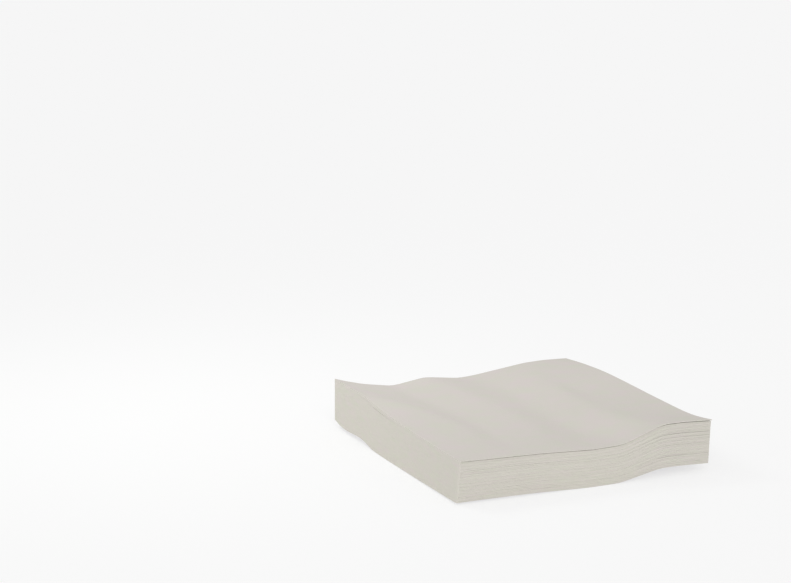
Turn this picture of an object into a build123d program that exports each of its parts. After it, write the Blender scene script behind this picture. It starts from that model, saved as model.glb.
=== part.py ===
from build123d import *
from itertools import cycle, pairwise
from math import copysign, cos, pi, sin
import os

# A stack of twelve paper luncheon napkins. Each is one rectangular sheet of two-ply tissue,
# folded in half and then in half again, so that it lies four leaves thick.
# Millimetres. The origin is the centre of the stack's footprint on the table and +Z is up.
# The round second folds lie along the left (-X) and the first folds along the back (+Y).
# The four leaves of every napkin are open along the front (-Y) and the right (+X).

# The folded napkin
NAPKIN_COUNT = 12
NAPKIN_WIDTH = 145.0  # from the second fold across to the open leaf ends
NAPKIN_DEPTH = 159.0  # from the open front edges back to the first fold
LEAF_THICKNESS = 0.33  # two plies of tissue with the air that their embossing holds
LEAF_GAP = 0.09  # air between two leaves
NAPKIN_GAP = 0.12  # air between two napkins where the stack is pressed flattest
FIRST_FOLD_NOSE = 0.3  # how deep the nose of the first fold is
NOSE_TIP_SHARE = 0.36  # how far it narrows from each side, as a share of its thickness
NOSE_FACETS = 4  # flats around the nose of the second fold
NOSE_ROUND_SHARE = 0.6  # 1 is a half-round nose, and less is one that was pressed square

# How unevenly the napkins were folded and laid
STRAY = 0.6
LEFT_STRAY_SHARES = [0.3, 0.9, 0, 0.6, 1, 0.2, 0.5, 0, 0.8, 0.1, 0.4, 0.2]
FRONT_STRAY_SHARES = [0.5, 0, 0.8, 0.2, 1, 0.4, 0.6, 0.1, 0.9, 0.3, 0, 0.7]
RIGHT_STRAY_SHARES = [0.4, 1, 0.2, 0.7, 0, 0.5, 0.9, 0.3, 0, 0.8, 0.6, 0.1]
INNER_LEAVES_SHORT = 0.6  # how far the two inner leaves stop short at the front
UPPER_LEAVES_SHORT = 0.5  # how far the two upper leaves stop short at the right

# The wave that the stack has taken. It bends in flat strips that run from front to back,
# as paper bends. A strip keeps one slope along its length and only its width changes, so
# it stays flat. A row of widths is shared out over the width of the napkin.
STRIP_SLOPE_SHARES = [-0.03, -0.2, -0.4, -0.07, 0.19, -0.03, -0.14, 0, 0.1, 0.17, 0.38, 0.14, 0.02, -0.05]
FRONT_STRIP_SHARES = [14, 1, 1, 6, 1, 34, 5, 22, 9, 5, 16, 5, 6, 20]
MIDDLE_STRIP_SHARES = [18, 5, 13, 8, 9, 8, 12, 8, 10, 14, 6, 5, 20, 9]
BACK_STRIP_SHARES = [2, 12, 8, 14, 12, 4, 17, 6, 12, 12, 1, 5, 24, 16]
MIDDLE_SHARE = 0.73  # where the middle row lies along the depth
LEVEL_STRIP = STRIP_SLOPE_SHARES.index(0)  # the lowest strip, which carries the stack
LOWEST_WAVE_SHARE = 0.56  # the bottom napkin's wave beside the top one's

NAPKIN_THICKNESS = 4 * LEAF_THICKNESS + 3 * LEAF_GAP
DOUBLE_LEAF = 2 * LEAF_THICKNESS + LEAF_GAP
NOSE_TIP = NOSE_TIP_SHARE * DOUBLE_LEAF


def wave(strip_shares, growth, base):
    """The creases (x, z) of a napkin's underside at one place along the depth."""
    span = NAPKIN_WIDTH - NAPKIN_THICKNESS / 2
    widths = [share / sum(strip_shares) * span for share in strip_shares]
    rises = [growth * slope * width for slope, width in zip(STRIP_SLOPE_SHARES, widths)]
    left = NAPKIN_WIDTH / 2 - span
    height = base - sum(rises[:LEVEL_STRIP])
    return [(left + sum(widths[:i]), height + sum(rises[:i])) for i in range(len(widths) + 1)]


def raised(creases, rise):
    return [(x, z + rise) for x, z in creases]


def shortened(creases, cut):
    """The same creases with the last strip cut short across."""
    (x0, z0), (x1, z1) = creases[-2:]
    kept = 1 - cut / abs(x1 - x0)
    return creases[:-1] + [(x0 + kept * (x1 - x0), z0 + kept * (z1 - z0))]


def nose(fold, low, high):
    """The nose of a fold from its lower to its upper side, as a half superellipse."""
    radius = (high - low) / 2
    turns = [pi * i / NOSE_FACETS for i in range(NOSE_FACETS + 1)]
    depths = [radius * abs(sin(t)) ** NOSE_ROUND_SHARE for t in turns]
    rises = [radius - radius * copysign(abs(cos(t)) ** NOSE_ROUND_SHARE, cos(t)) for t in turns]
    return [(fold[0] - depth, fold[1] + low + rise) for depth, rise in zip(depths, rises)]


def hairpin(creases, low, high, wall):
    """The closed outline (x, z) of two leaves joined by their round fold at the left."""
    fold = creases[0]
    lower = creases[1:]
    upper = shortened(creases, UPPER_LEAVES_SHORT)[1:]
    outside = raised(lower[::-1], low) + nose(fold, low, high) + raised(upper, high)
    inside = raised(upper[::-1], high - wall) + nose(fold, low + wall, high - wall)[::-1]
    return outside + inside + raised(lower, low + wall)


def standing(outline, y):
    return [Vector(x, y, z) for x, z in outline]


def cap(section):
    return Face(Wire.make_polygon(section))


def skin(first, second):
    """Flat faces that join two sections point by point."""
    corners = zip(first, second, second[1:] + second[:1], first[1:] + first[:1])
    return [Face(Wire.make_polygon(quad)) for quad in corners]


def pair_of_leaves(rows, front, low, high):
    """The sides and front edge of one folded pair of leaves, with the section at its back."""
    depths = [front, *(y for y, creases in rows[1:])]
    sections = [standing(hairpin(creases, low, high, LEAF_THICKNESS), y)
                for y, (_, creases) in zip(depths, rows)]
    return [cap(sections[0])] + [face for two in pairwise(sections) for face in skin(*two)]


def napkin(index, left_share, front_share, right_share):
    """One folded napkin: an outer pair of leaves round an inner pair, joined at the back."""
    growth = LOWEST_WAVE_SHARE + (1 - LOWEST_WAVE_SHARE) * index / (NAPKIN_COUNT - 1)
    base = index * (NAPKIN_THICKNESS + NAPKIN_GAP)
    front = STRAY * front_share - NAPKIN_DEPTH / 2
    back = NAPKIN_DEPTH / 2 - FIRST_FOLD_NOSE
    wave_rows = [(0, FRONT_STRIP_SHARES), (MIDDLE_SHARE, MIDDLE_STRIP_SHARES), (1, BACK_STRIP_SHARES)]
    rows = []
    for place, strip_shares in wave_rows:
        creases = shortened(wave(strip_shares, growth, base), STRAY * right_share)
        creases = shortened(creases[::-1], STRAY * left_share)[::-1]
        rows.append((front + place * (back - front), creases))
    top = NAPKIN_THICKNESS
    inset = LEAF_THICKNESS + LEAF_GAP
    faces = pair_of_leaves(rows, front, 0, top)
    faces += pair_of_leaves(rows, front + INNER_LEAVES_SHORT, inset, top - inset)
    creases = rows[-1][1]
    fold_outline = hairpin(creases, LEAF_THICKNESS, top - LEAF_THICKNESS, LEAF_GAP)
    faces.append(cap(standing(fold_outline, back)))
    root = standing(hairpin(creases, 0, top, DOUBLE_LEAF), back)
    tip_outline = hairpin(creases, NOSE_TIP, top - NOSE_TIP, DOUBLE_LEAF - 2 * NOSE_TIP)
    tip = standing(tip_outline, NAPKIN_DEPTH / 2)
    return Solid(Shell(faces + skin(root, tip) + [cap(tip)]))


os.makedirs("parts", exist_ok=True)
strays = zip(cycle(LEFT_STRAY_SHARES), cycle(FRONT_STRAY_SHARES), cycle(RIGHT_STRAY_SHARES))
for index, shares in zip(range(NAPKIN_COUNT), strays):
    export_step(napkin(index, *shares), f"parts/napkin_{index + 1:02d}.step")
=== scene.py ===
import math

import bmesh
import bpy
import numpy as np
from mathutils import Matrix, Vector


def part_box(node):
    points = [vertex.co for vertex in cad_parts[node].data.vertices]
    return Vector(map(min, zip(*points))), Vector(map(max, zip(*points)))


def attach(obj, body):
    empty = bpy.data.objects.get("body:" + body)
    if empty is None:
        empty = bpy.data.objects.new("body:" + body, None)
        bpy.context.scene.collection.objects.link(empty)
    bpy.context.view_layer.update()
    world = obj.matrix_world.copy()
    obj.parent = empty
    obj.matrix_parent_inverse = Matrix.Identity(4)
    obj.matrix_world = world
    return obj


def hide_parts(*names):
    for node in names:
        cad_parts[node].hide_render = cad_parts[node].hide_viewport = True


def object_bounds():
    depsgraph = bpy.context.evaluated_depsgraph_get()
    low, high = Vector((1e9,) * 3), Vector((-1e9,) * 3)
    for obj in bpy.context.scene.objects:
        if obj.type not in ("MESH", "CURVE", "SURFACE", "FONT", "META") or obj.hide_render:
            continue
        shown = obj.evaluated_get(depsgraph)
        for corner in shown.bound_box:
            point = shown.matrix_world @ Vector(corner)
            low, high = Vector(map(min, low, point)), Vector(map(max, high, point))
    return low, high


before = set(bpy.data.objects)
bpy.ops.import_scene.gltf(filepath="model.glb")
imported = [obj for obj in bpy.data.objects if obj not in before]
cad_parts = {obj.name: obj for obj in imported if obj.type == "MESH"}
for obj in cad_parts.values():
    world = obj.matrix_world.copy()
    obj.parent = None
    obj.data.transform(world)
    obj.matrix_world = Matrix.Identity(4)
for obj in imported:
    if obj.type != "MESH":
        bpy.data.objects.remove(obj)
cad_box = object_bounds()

# The napkins: sheets of two-ply tissue, each folded in half and in half again, and stacked loose
# on each other. The limp paper has settled in one wave, which is lowest along a valley that runs
# from front to back, with a long crest to the right and a raised left back corner.
MM = 0.001

# Each line is a brow or a hollow of the top sheet: its distances from the round folds and its
# heights over the valley, in mm, at the rows below, which run from the front to the back.
ROWS = [0, 12, 25, 60, 90, 105, 118, 140, 159]
TOP_LINES = [
    ([0, 0, 0, 0, 0, 0, 0, 0, 0], [2.6, 2.6, 2.7, 3.4, 4.7, 5.9, 7.6, 7.3, 7.4]),
    ([20, 23, 26, 30, 22, 14, 4, 3, 4], [2.0, 2.6, 2.5, 2.8, 4.0, 5.7, 7.0, 6.2, 6.0]),
    ([32, 35, 37, 40, 32, 25, 16, 16, 17], [1.8, 1.7, 1.2, 0.8, 1.7, 3.6, 4.5, 3.4, 2.5]),
    ([40, 42, 43, 46, 40, 36, 33, 33, 35], [1.6, 1.8, 1.7, 1.3, 0.9, 1.7, 1.5, 0.8, -0.5]),
    ([46, 52, 60, 66, 64, 62, 61, 60, 55], [1.5, 2.3, 2.1, 2.7, 2.3, 2.7, 3.0, 2.5, 2.4]),
    ([76, 80, 83, 80, 80, 79, 78, 78, 76], [0.0, -0.2, -0.3, 1.1, 1.1, 1.3, 1.2, 0.8, -0.3]),
    ([93, 92, 90, 85, 87, 87, 86, 86, 85], [0.5, 0.4, 0.7, 1.4, 1.7, 1.0, 1.1, 0.8, 0.2]),
    ([116, 113, 108, 106, 107, 107, 109, 110, 118], [8.4, 6.0, 6.0, 4.9, 5.3, 5.3, 4.8, 4.5, 4.2]),
    ([127, 125, 118, 115, 116, 117, 118, 121, 130], [8.5, 6.8, 5.7, 4.7, 4.1, 4.8, 5.0, 5.1, 4.6]),
    ([145, 145, 145, 145, 145, 145, 145, 145, 145], [7.5, 5.8, 5.0, 5.6, 6.4, 6.7, 6.7, 5.7, 4.1]),
]
# The bottom napkin follows the wave less, and along the folds it has heights of its own, by the
# distance from the front.
BOTTOM_SHARE = 0.62
BOTTOM_AT_FOLDS = {
    0: 1.1, 22: 0.8, 45: 0.5, 67: 0.3, 91: 0.15, 107: 0.4, 116: 2.3, 124: 2.9, 132: 2.5,
    141: 1.9, 150: 2.2, 159: 4.1}
FOLDS_REACH = 45.0
# the wave is blurred with these spreads, and the blur takes in so many of them on each side
SOFTENED_ACROSS = 2.0
SOFTENED_ALONG = 5.0
SPREADS_REACHED = 3
# heights past the far edges of the plan are read this little inside them
JUST_INSIDE = 0.001

left_mm, front_mm = cad_box[0][0] / MM, cad_box[0][1] / MM
plan_x = np.arange(TOP_LINES[-1][0][0] + 1.0)
plan_y = np.arange(ROWS[-1] + 1.0)


def softened(heights, spread, axis):
    """Heights on the plan's 1 mm grid, blurred along one axis, with the slopes at its ends kept."""
    reach = int(SPREADS_REACHED * spread)
    steps = np.arange(-reach, reach + 1)
    weights = np.exp(-0.5 * (steps / spread) ** 2)
    weights /= weights.sum()
    padding = [(0, 0), (0, 0)]
    padding[axis] = (reach, reach)
    wide = np.pad(heights, padding, mode="reflect", reflect_type="odd")
    return np.apply_along_axis(lambda line: np.convolve(line, weights, "valid"), axis, wide)


line_places = np.array([np.interp(plan_y, ROWS, places) for places, heights in TOP_LINES])
line_heights = np.array([np.interp(plan_y, ROWS, heights) for places, heights in TOP_LINES])
top_wave = np.array([np.interp(plan_x, *line) for line in zip(line_places.T, line_heights.T)])
top_wave = softened(softened(top_wave, SOFTENED_ACROSS, 1), SOFTENED_ALONG, 0)
at_folds = np.interp(plan_y, list(BOTTOM_AT_FOLDS), list(BOTTOM_AT_FOLDS.values()))[:, None]
inward = np.clip(plan_x / FOLDS_REACH, 0, 1)[None, :]
bottom_wave = at_folds * (1 - inward) + BOTTOM_SHARE * np.clip(top_wave, 0, None) * inward
bottom_wave = softened(bottom_wave, SOFTENED_ACROSS, 0)


def height_at(grid, x, y):
    """Heights between the points of the plan's grid, with x and y in mm in the part's frame."""
    across = np.clip(x - left_mm, 0, plan_x[-1] - JUST_INSIDE)
    along = np.clip(y - front_mm, 0, plan_y[-1] - JUST_INSIDE)
    i, j = across.astype(int), along.astype(int)
    u, v = across - i, along - j
    near = grid[j, i] * (1 - u) + grid[j, i + 1] * u
    far = grid[j + 1, i] * (1 - u) + grid[j + 1, i + 1] * u
    return near * (1 - v) + far * v


# The leaves: four to a napkin, of two plies of tissue each, plumper where the stack stands high.
# The folds spring open inside their napkins and close the air between them. It shows again
# where the open edges spread.
nodes = sorted(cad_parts)
LEAVES_EACH = 4
LEAF_COUNT = LEAVES_EACH * len(nodes)
LEAF = 0.405
PLUMP_SHARE = 0.56
LEAF_PITCH = 0.42
VALLEY_HEIGHT = 20.4
# shares of the air in a napkin: in its lower pair, its middle and its upper pair, then over it
AIR_INSIDE = [0.8, 0.9, 0.8, 1.7]
AIR_AT_SECOND_FOLD = [0.4, 2.0, 0.4, 0.01]
AIR_AT_FIRST_FOLD = [1.4, 0.3, 1.4, 0.06]
# how far each napkin stands off the one below, from the second napkin up to the top one
STAND_OFF_SHARES = [0.9, 0.3, 1.8, 0.3, 0.6, 1.4, 1.1, 1.5, 3.0, 0.6, 0.3]
FOLD_REACH = 7.0
# the air at the open edges comes and goes along them, where ripples of chance lengths add up
OPEN_EDGE_REACH = 14.0
OPEN_EDGE_AIR = 0.7
RIPPLES = 3
RIPPLE_LENGTHS = (28, 120)
GAPING_FROM = 0.6
GAPING_POWER = 1.5
# the top napkin stands a little off the rest, most at a place on its fold
TOP_NAPKIN_AIR = 2.0
TOP_NAPKIN_LIFT_AT = (0, 97)
TOP_NAPKIN_LIFT_REACH = (16, 15)
# the gap under the top leaf at the front edge, by the distance from the folds
TOP_LEAF_GAP = {0: 0.2, 5: 0.31, 90: 0.33, 106: 0.27, 116: 0.34, 145: 0.38}
SEED = 12

chance = np.random.default_rng(SEED)
ripple_lengths = chance.uniform(*RIPPLE_LENGTHS, (LEAF_COUNT - 1, RIPPLES))
ripple_phases = chance.uniform(0, 2 * math.pi, (LEAF_COUNT - 1, RIPPLES))


def air_shares(shares, napkin_shares=1.0):
    """One napkin's shares of air repeated up the stack, with the last one left off its top."""
    repeated = np.tile(np.array(shares, float), len(nodes))[:-1]
    repeated[LEAVES_EACH - 1::LEAVES_EACH] *= napkin_shares
    return repeated[:, None]


def leaf_heights(x, y):
    """The heights of the middles of all leaves over points of the plan, and their thickness there."""
    from_left, from_front = x - left_mm, y - front_mm
    from_right, from_back = plan_x[-1] - from_left, plan_y[-1] - from_front
    bottom = height_at(bottom_wave, x, y)
    height = height_at(top_wave, x, y) + VALLEY_HEIGHT - bottom
    leaf = LEAF + PLUMP_SHARE * (height - VALLEY_HEIGHT) / LEAF_COUNT
    top_gap = np.interp(from_left, list(TOP_LEAF_GAP), list(TOP_LEAF_GAP.values()))
    top_gap *= np.exp(-from_front / OPEN_EDGE_REACH)
    room = height - LEAF_COUNT * leaf - top_gap
    openness = np.exp(-from_front / OPEN_EDGE_REACH) + np.exp(-from_right / OPEN_EDGE_REACH)
    way = (from_left + from_front)[None, :, None]
    turns = 2 * math.pi * way / ripple_lengths[:, None, :] + ripple_phases[:, None, :]
    ripples = np.sin(turns).sum(2)
    tightness = (VALLEY_HEIGHT - LEAF_COUNT * LEAF) / room
    gaping = np.clip(ripples - GAPING_FROM, 0, None) ** GAPING_POWER
    gaping = OPEN_EDGE_AIR * openness * tightness * gaping
    shares = air_shares(AIR_INSIDE, STAND_OFF_SHARES) + gaping
    at_first, at_second = np.exp(-from_back / FOLD_REACH), np.exp(-from_left / FOLD_REACH)
    shares = shares * (1 - at_first) + air_shares(AIR_AT_FIRST_FOLD) * at_first
    shares = shares * (1 - at_second) + air_shares(AIR_AT_SECOND_FOLD) * at_second
    lift_x = (from_left - TOP_NAPKIN_LIFT_AT[0]) / TOP_NAPKIN_LIFT_REACH[0]
    lift_y = (from_front - TOP_NAPKIN_LIFT_AT[1]) / TOP_NAPKIN_LIFT_REACH[1]
    shares[-LEAVES_EACH] += TOP_NAPKIN_AIR * np.exp(-lift_x ** 2 - lift_y ** 2)
    below = np.vstack([np.zeros_like(x), np.cumsum(shares, 0)]) / shares.sum(0)
    stacked = (np.arange(LEAF_COUNT) + 0.5)[:, None] * leaf + room * below
    stacked[-1] += top_gap
    return bottom + stacked, leaf


# The sheets: every napkin starts as one flat cut sheet, with close lines at its two creases.
# The creases meet at the sheet's origin, so half of it lies on each side of each crease. Its
# upper face becomes the napkin's outward side, and its lower face, a unit below, the inward one.
HALF_WIDTH = 145.0
HALF_DEPTH = 159.0
CREASE_OFF_CENTRE = 0.04
FLAT_COLUMNS, FLAT_ROWS = 96, 80
# the radii to which the middle of the sheet bends: at the first fold, and at the second fold in
# the outer leaves, round the inner ones
FIRST_BEND = 0.5 * LEAF_PITCH
OUTER_BEND = 1.5 * LEAF_PITCH
# the lines on each side of a crease, by their distance from it, and those beside the cut edges
CREASE_LINES = [0.02, 0.06, 0.12, 0.17, 0.21, 0.27, 0.31, 0.33]
OUTER_BEND_LINES = [0.38, 0.49, 0.63, 0.82, 0.94, 0.99]
EDGE_LINE = 0.4
CORNER_LINES = [2.6, 1.7, 1.0]
ALONG_LINES = CREASE_LINES + [HALF_DEPTH - inset for inset in (*CORNER_LINES, EDGE_LINE)]
ACROSS_LINES = CREASE_LINES + OUTER_BEND_LINES + [HALF_WIDTH - EDGE_LINE]
SHARP_RIM = math.pi / 4
# solidify leaves the rim in another order in each run, so the faces are put in order by place
PLACE_WEIGHTS = Vector((1, 1e5, 1e9))

flat = bmesh.new()
bmesh.ops.create_grid(flat, x_segments=FLAT_COLUMNS, y_segments=FLAT_ROWS, size=1)
bmesh.ops.scale(flat, vec=(HALF_WIDTH, HALF_DEPTH, 1), verts=flat.verts)
bmesh.ops.translate(flat, vec=(0, -CREASE_OFF_CENTRE, 0), verts=flat.verts)
for direction, offsets in ((Vector((1, 0, 0)), ACROSS_LINES), (Vector((0, 1, 0)), ALONG_LINES)):
    for offset in offsets:
        for side in (-1, 1):
            everything = flat.verts[:] + flat.edges[:] + flat.faces[:]
            point = direction * offset * side
            bmesh.ops.bisect_plane(flat, geom=everything, plane_co=point, plane_no=direction)
bmesh.ops.solidify(flat, geom=flat.faces[:], thickness=1)
flat.faces.sort(key=lambda face: face.calc_center_median().dot(PLACE_WEIGHTS))
flat.normal_update()
for face in flat.faces:
    face.smooth = True
for edge in flat.edges:
    edge.smooth = edge.calc_face_angle() < SHARP_RIM
sheet_mesh = bpy.data.meshes.new("flat_sheet")
flat.to_mesh(sheet_mesh)
flat.free()
flat_points = np.empty(3 * len(sheet_mesh.vertices))
sheet_mesh.vertices.foreach_get("co", flat_points)
flat_points = flat_points.reshape(-1, 3)
loop_points = np.empty(len(sheet_mesh.loops), int)
sheet_mesh.loops.foreach_get("vertex_index", loop_points)
sheet_mesh.uv_layers.new(name="web")
sheet_places = flat_points[loop_points, :2] * MM

# The folding: the second fold goes round the first, its nose pressed nearly square, and each
# napkin's folds and edges stray from the stack's sides by a share of what its solid does.
QUARTER_TURN = math.pi / 2
# 1 is a round nose, and near 0 is one pressed square
PRESSED = 0.05
FOLD_STRAY_SHARE = 0.05
EDGE_STRAY_SHARE = 0.12
# the inner leaves' spare paper is taken up beside their fold, so all four end flush
TAKEN_UP_WITHIN = 6.0
# the cut edges wander: a long wave and a weaker short one, by the length that turns a wave by 1
EDGE_STRAY = 0.03
FRONT_WAVES = (31, 9)
RIGHT_WAVES = (33, 10)
SHORT_WAVE_SHARE = 0.4
EDGE_POWER = 3
# the corner of the folds and the cut front edges is worn a little round
CORNER_ROUNDING = 0.42
CORNER_REACH = 1.0
TOP_LEAF_OVERHANG = 0.35
# the stack was squared up by hand: its bottom lies a little to the left, and its top is turned
BOTTOM_SLIP = 0.65
TOP_TURN = math.radians(0.6)
TURNED_HEIGHT = 24.0


def cut_edge(places, lengths, phases):
    """How far a cut edge falls short at places along it, in units of EDGE_STRAY."""
    long_wave = np.sin(places / lengths[0] + phases[:, 0])
    short_wave = np.sin(places / lengths[1] + phases[:, 1])
    return 1 + long_wave + SHORT_WAVE_SHARE * short_wave


def folded(points, index, node):
    """The sheet's points after both folds, in one napkin's place in the stack, in mm."""
    across, along, outward = points[:, 0], points[:, 1], points[:, 2] + 0.5
    low, high = (np.array(corner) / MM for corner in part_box(node))
    low[0] = left_mm + FOLD_STRAY_SHARE * (low[0] - left_mm)
    low[1] = front_mm + EDGE_STRAY_SHARE * (low[1] - front_mm)
    high[0] = -left_mm + EDGE_STRAY_SHARE * (high[0] + left_mm)
    fold_x = low[0] + OUTER_BEND + LEAF / 2
    fold_y = high[1] - FIRST_BEND - LEAF / 2

    # how far a point has gone round each fold, and past it
    round_first = np.clip(along / FIRST_BEND, -QUARTER_TURN, QUARTER_TURN)
    inner = (1 + np.sin(round_first)) / 2
    bend = OUTER_BEND - LEAF_PITCH * inner
    round_second = np.clip(across / bend, -QUARTER_TURN, QUARTER_TURN)
    upper = (1 + np.sin(round_second)) / 2
    past_x = np.abs(across) - QUARTER_TURN * bend
    past_y = np.abs(along) - QUARTER_TURN * FIRST_BEND
    past_x -= QUARTER_TURN * (OUTER_BEND - bend) * np.clip(past_x / TAKEN_UP_WITHIN, 0, 1)
    stretch_x = (high[0] - fold_x) / (HALF_WIDTH - QUARTER_TURN * OUTER_BEND)
    stretch_y = (fold_y - low[1]) / (HALF_DEPTH - CREASE_OFF_CENTRE - QUARTER_TURN * FIRST_BEND)
    x_bend = bend + LEAF * outward * (1 - 2 * inner)
    y_bend = FIRST_BEND + LEAF * outward
    x = fold_x - x_bend * np.cos(round_second) ** PRESSED + stretch_x * np.clip(past_x, 0, None)
    y = fold_y + y_bend * np.cos(round_first) ** PRESSED - stretch_y * np.clip(past_y, 0, None)

    # the cut edges, the worn corner and the top leaf
    leaf = np.where(upper > 0.5, 3 - (inner > 0.5), inner > 0.5).astype(int)
    to_front = np.clip((fold_y - y) / (fold_y - low[1]), 0, 1) ** EDGE_POWER
    to_right = np.clip((x - fold_x) / (high[0] - fold_x), 0, 1) ** EDGE_POWER
    phases = chance.uniform(0, 2 * math.pi, (LEAVES_EACH, 4))[leaf]
    y += EDGE_STRAY * to_front * cut_edge(x, FRONT_WAVES, phases[:, :2])
    x -= EDGE_STRAY * to_right * cut_edge(y, RIGHT_WAVES, phases[:, 2:])
    x += CORNER_ROUNDING * np.exp(-(y - low[1] + x - low[0]) / CORNER_REACH)
    if index == len(nodes) - 1:
        x += TOP_LEAF_OVERHANG * to_right * (leaf == 3)
        y -= TOP_LEAF_OVERHANG * to_front * (leaf == 3)

    # the heights, which pass from leaf to leaf round the folds
    middles, leaf_here = leaf_heights(x, y)
    own_leaves = slice(LEAVES_EACH * index, LEAVES_EACH * (index + 1))
    faces_down_or_up = np.array([-1, 1, -1, 1])[:, None]
    heights = middles[own_leaves] + faces_down_or_up * outward * leaf_here
    lower_z = heights[0] * (1 - inner) + heights[1] * inner
    upper_z = heights[3] * (1 - inner) + heights[2] * inner
    rise = np.sign(np.sin(round_second)) * np.abs(np.sin(round_second)) ** PRESSED
    z = (lower_z + upper_z) / 2 + (upper_z - lower_z) / 2 * rise
    level = z / TURNED_HEIGHT
    turn = TOP_TURN * level
    return np.column_stack([x - turn * y - BOTTOM_SLIP * (1 - level), y + turn * x, z])


# The paper: tissue made on a creping cylinder and pressed into two plies. It is matt and soft,
# cloudy in two faint whites where its fibres lie thicker, with crepe lines along the sheet and
# loose fibres as a slight relief that only shows close to.
WARM_TISSUE = "#D0C9C5"
PALE_TISSUE = "#CDCBC1"
CLOUD_SIZE = 13 * MM
CLOUD_CONTRAST = (0.34, 0.66)
FIBRE_LENGTH = 0.9 * MM
CREPE_SPACING = 0.45 * MM
CREPE_DEPTH = 0.03 * MM
CREPE_STRETCH = 4


def linear(code):
    """A colour written as sRGB hex, in Blender's linear values."""
    parts = [int(code[i:i + 2], 16) / 255 for i in (1, 3, 5)]
    return [p / 12.92 if p <= 0.04045 else ((p + 0.055) / 1.055) ** 2.4 for p in parts] + [1.0]


def add(tree, kind, inputs=None, **settings):
    """Adds a node with its settings, and sets each input or links it from a socket."""
    made = tree.nodes.new(kind)
    for name, value in settings.items():
        setattr(made, name, value)
    for name, value in (inputs or {}).items():
        if isinstance(value, bpy.types.NodeSocket):
            tree.links.new(value, made.inputs[name])
        else:
            made.inputs[name].default_value = value
    return made


tissue = bpy.data.materials.new("creped_tissue_paper")
tissue.use_nodes = True
tree = tissue.node_tree
tree.nodes.clear()
place = add(tree, "ShaderNodeUVMap", uv_map="web").outputs["UV"]
clouds = add(tree, "ShaderNodeTexNoise", {
    "Vector": place, "Scale": 1 / CLOUD_SIZE, "Detail": 3.0})
cloudiness = add(tree, "ShaderNodeMapRange", {
    "Value": clouds.outputs["Fac"], "From Min": CLOUD_CONTRAST[0], "From Max": CLOUD_CONTRAST[1]})
colour = add(tree, "ShaderNodeMix", {
    "Factor": cloudiness.outputs["Result"], "A": linear(WARM_TISSUE), "B": linear(PALE_TISSUE)},
    data_type="RGBA")
along_crepe = add(tree, "ShaderNodeMapping", {
    "Vector": place, "Scale": (1.0, 1 / CREPE_STRETCH, 1.0)})
crepe = add(tree, "ShaderNodeTexNoise", {
    "Vector": along_crepe.outputs["Vector"], "Scale": 1 / CREPE_SPACING, "Detail": 2.0})
fibres = add(tree, "ShaderNodeTexNoise", {
    "Vector": place, "Scale": 1 / FIBRE_LENGTH, "Detail": 4.0, "Roughness": 0.7})
relief = add(tree, "ShaderNodeMath", {
    0: crepe.outputs["Fac"], 1: fibres.outputs["Fac"]}, operation="ADD")
bump = add(tree, "ShaderNodeBump", {
    "Height": relief.outputs["Value"], "Distance": CREPE_DEPTH, "Strength": 0.6})
shader = add(tree, "ShaderNodeBsdfPrincipled", {
    "Base Color": colour.outputs["Result"], "Roughness": 0.92, "Specular IOR Level": 0.25,
    "Normal": bump.outputs["Normal"]})
add(tree, "ShaderNodeOutputMaterial", {"Surface": shader.outputs["BSDF"]})

for index, node in enumerate(nodes):
    mesh = sheet_mesh.copy()
    mesh.name = f"tissue_{node}"
    mesh.vertices.foreach_set("co", (folded(flat_points, index, node) * MM).ravel())
    # the sheets were cut one after another from a web of tissue, so no two have the same clouds
    places_on_web = sheet_places + np.array([0, 2 * HALF_DEPTH * MM * index])
    mesh.uv_layers["web"].data.foreach_set("uv", places_on_web.ravel())
    mesh.materials.append(tissue)
    napkin = bpy.data.objects.new(f"tissue_{node}", mesh)
    bpy.context.collection.objects.link(napkin)
    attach(napkin, "root")
    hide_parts(node)
bpy.data.meshes.remove(sheet_mesh)

# The floor: a matt white laminate that runs out of sight and keeps the stack's soft shadow. The
# light that it throws up on the stack is faintly green. Seen by the camera, most of its white is
# its own, so that the background stays even.
FLOOR_COLOUR = "#FAFDF7"
OWN_WHITE = "#FAF9FB"
OWN_WHITE_SHARE = 0.72
FLOOR_HALF = 6000 * MM


def background_ray(tree):
    """1 for a ray that shows the background: from the camera, or by way of metal or glass."""
    rays = add(tree, "ShaderNodeLightPath").outputs
    by_way = add(tree, "ShaderNodeMath", {
        0: rays["Is Glossy Ray"], 1: rays["Is Transmission Ray"]}, operation="MAXIMUM")
    shown = add(tree, "ShaderNodeMath", {
        0: rays["Is Camera Ray"], 1: by_way.outputs["Value"]}, operation="MAXIMUM")
    return shown.outputs["Value"]


ground = bmesh.new()
bmesh.ops.create_grid(ground, x_segments=1, y_segments=1, size=FLOOR_HALF)
floor_mesh = bpy.data.meshes.new("floor")
ground.to_mesh(floor_mesh)
ground.free()
floor = bpy.data.objects.new("floor", floor_mesh)
bpy.context.collection.objects.link(floor)
laminate = bpy.data.materials.new("matt_white_laminate")
laminate.use_nodes = True
tree = laminate.node_tree
tree.nodes.clear()
shader = add(tree, "ShaderNodeBsdfPrincipled", {
    "Base Color": linear(FLOOR_COLOUR), "Roughness": 0.9})
own_white = add(tree, "ShaderNodeEmission", {"Color": linear(OWN_WHITE), "Strength": 1.0})
share = add(tree, "ShaderNodeMath", {
    0: background_ray(tree), 1: OWN_WHITE_SHARE}, operation="MULTIPLY")
both = add(tree, "ShaderNodeMixShader", {
    0: share.outputs["Value"], 1: shader.outputs["BSDF"], 2: own_white.outputs["Emission"]})
add(tree, "ShaderNodeOutputMaterial", {"Surface": both.outputs["Shader"]})
floor_mesh.materials.append(laminate)

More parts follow.
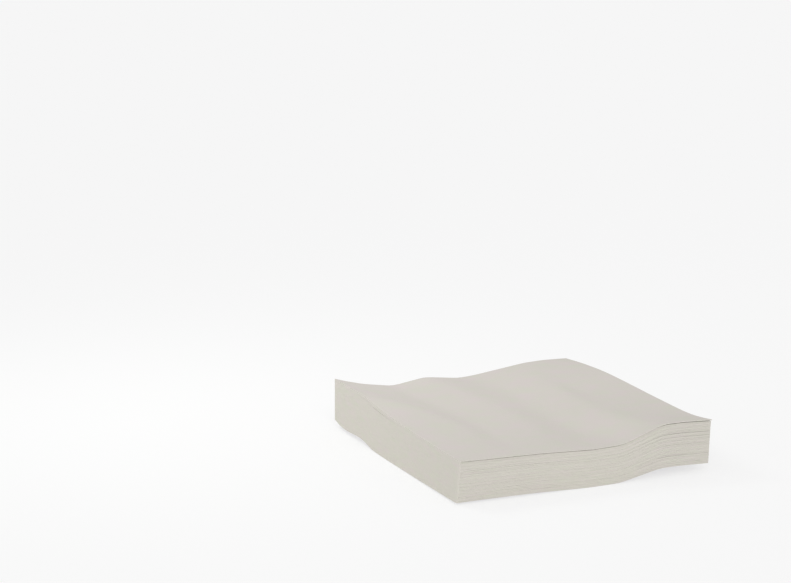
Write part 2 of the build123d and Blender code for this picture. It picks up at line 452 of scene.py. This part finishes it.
# The light: an even white surround, one broad soft lamp from the front, and a weaker one close
# by at the back left, from which the light falls off over the stack.
SURROUND = 0.66
KEY_IRRADIANCE = 1.122
KEY_ELEVATION = math.radians(33.7)
KEY_FROM = math.radians(249)
KEY_SOFTNESS = math.radians(35)
SIDE_LAMP_AT = (-200, 180, 310)
SIDE_LAMP_SIZE = 140 * MM
SIDE_LAMP_WATTS = 0.305

world = bpy.data.worlds.new("studio")
bpy.context.scene.world = world
world.use_nodes = True
tree = world.node_tree
tree.nodes.clear()
around = add(tree, "ShaderNodeBackground", {"Color": (1, 1, 1, 1), "Strength": SURROUND})
behind = add(tree, "ShaderNodeBackground", {"Color": linear(OWN_WHITE), "Strength": 1.0})
both = add(tree, "ShaderNodeMixShader", {
    0: background_ray(tree), 1: around.outputs["Background"], 2: behind.outputs["Background"]})
add(tree, "ShaderNodeOutputWorld", {"Surface": both.outputs["Shader"]})
key = bpy.data.lights.new("key", "SUN")
key.energy = KEY_IRRADIANCE
key.angle = KEY_SOFTNESS
key_lamp = bpy.data.objects.new("key", key)
bpy.context.collection.objects.link(key_lamp)
towards_key = Vector((
    math.cos(KEY_ELEVATION) * math.cos(KEY_FROM),
    math.cos(KEY_ELEVATION) * math.sin(KEY_FROM),
    math.sin(KEY_ELEVATION)))
key_lamp.rotation_euler = towards_key.to_track_quat("Z", "Y").to_euler()
side = bpy.data.lights.new("side", "AREA")
side.size = SIDE_LAMP_SIZE
side.energy = SIDE_LAMP_WATTS
side_lamp = bpy.data.objects.new("side", side)
bpy.context.collection.objects.link(side_lamp)
side_lamp.location = Vector(SIDE_LAMP_AT) * MM
side_lamp.rotation_euler = Vector(SIDE_LAMP_AT).to_track_quat("Z", "Y").to_euler()

# The camera: a long lens from the front left and a little above, as the photograph was taken.
# The stack lies low and right of the middle of the picture.
PICTURE_WIDTH = 791
FOCAL_PIXELS = 2400
CAMERA_AT = (-560.8, -1114.5, 361.2)
CAMERA_PITCH = math.radians(12.43)
CAMERA_HEADING = math.radians(23.719)

lens = bpy.data.cameras.new("camera")
lens.lens = FOCAL_PIXELS / PICTURE_WIDTH * lens.sensor_width
camera = bpy.data.objects.new("camera", lens)
bpy.context.collection.objects.link(camera)
camera.location = Vector(CAMERA_AT) * MM
camera.rotation_euler = (math.pi / 2 - CAMERA_PITCH, 0, -CAMERA_HEADING)
bpy.context.scene.camera = camera
bpy.context.scene.view_settings.view_transform = "Standard"
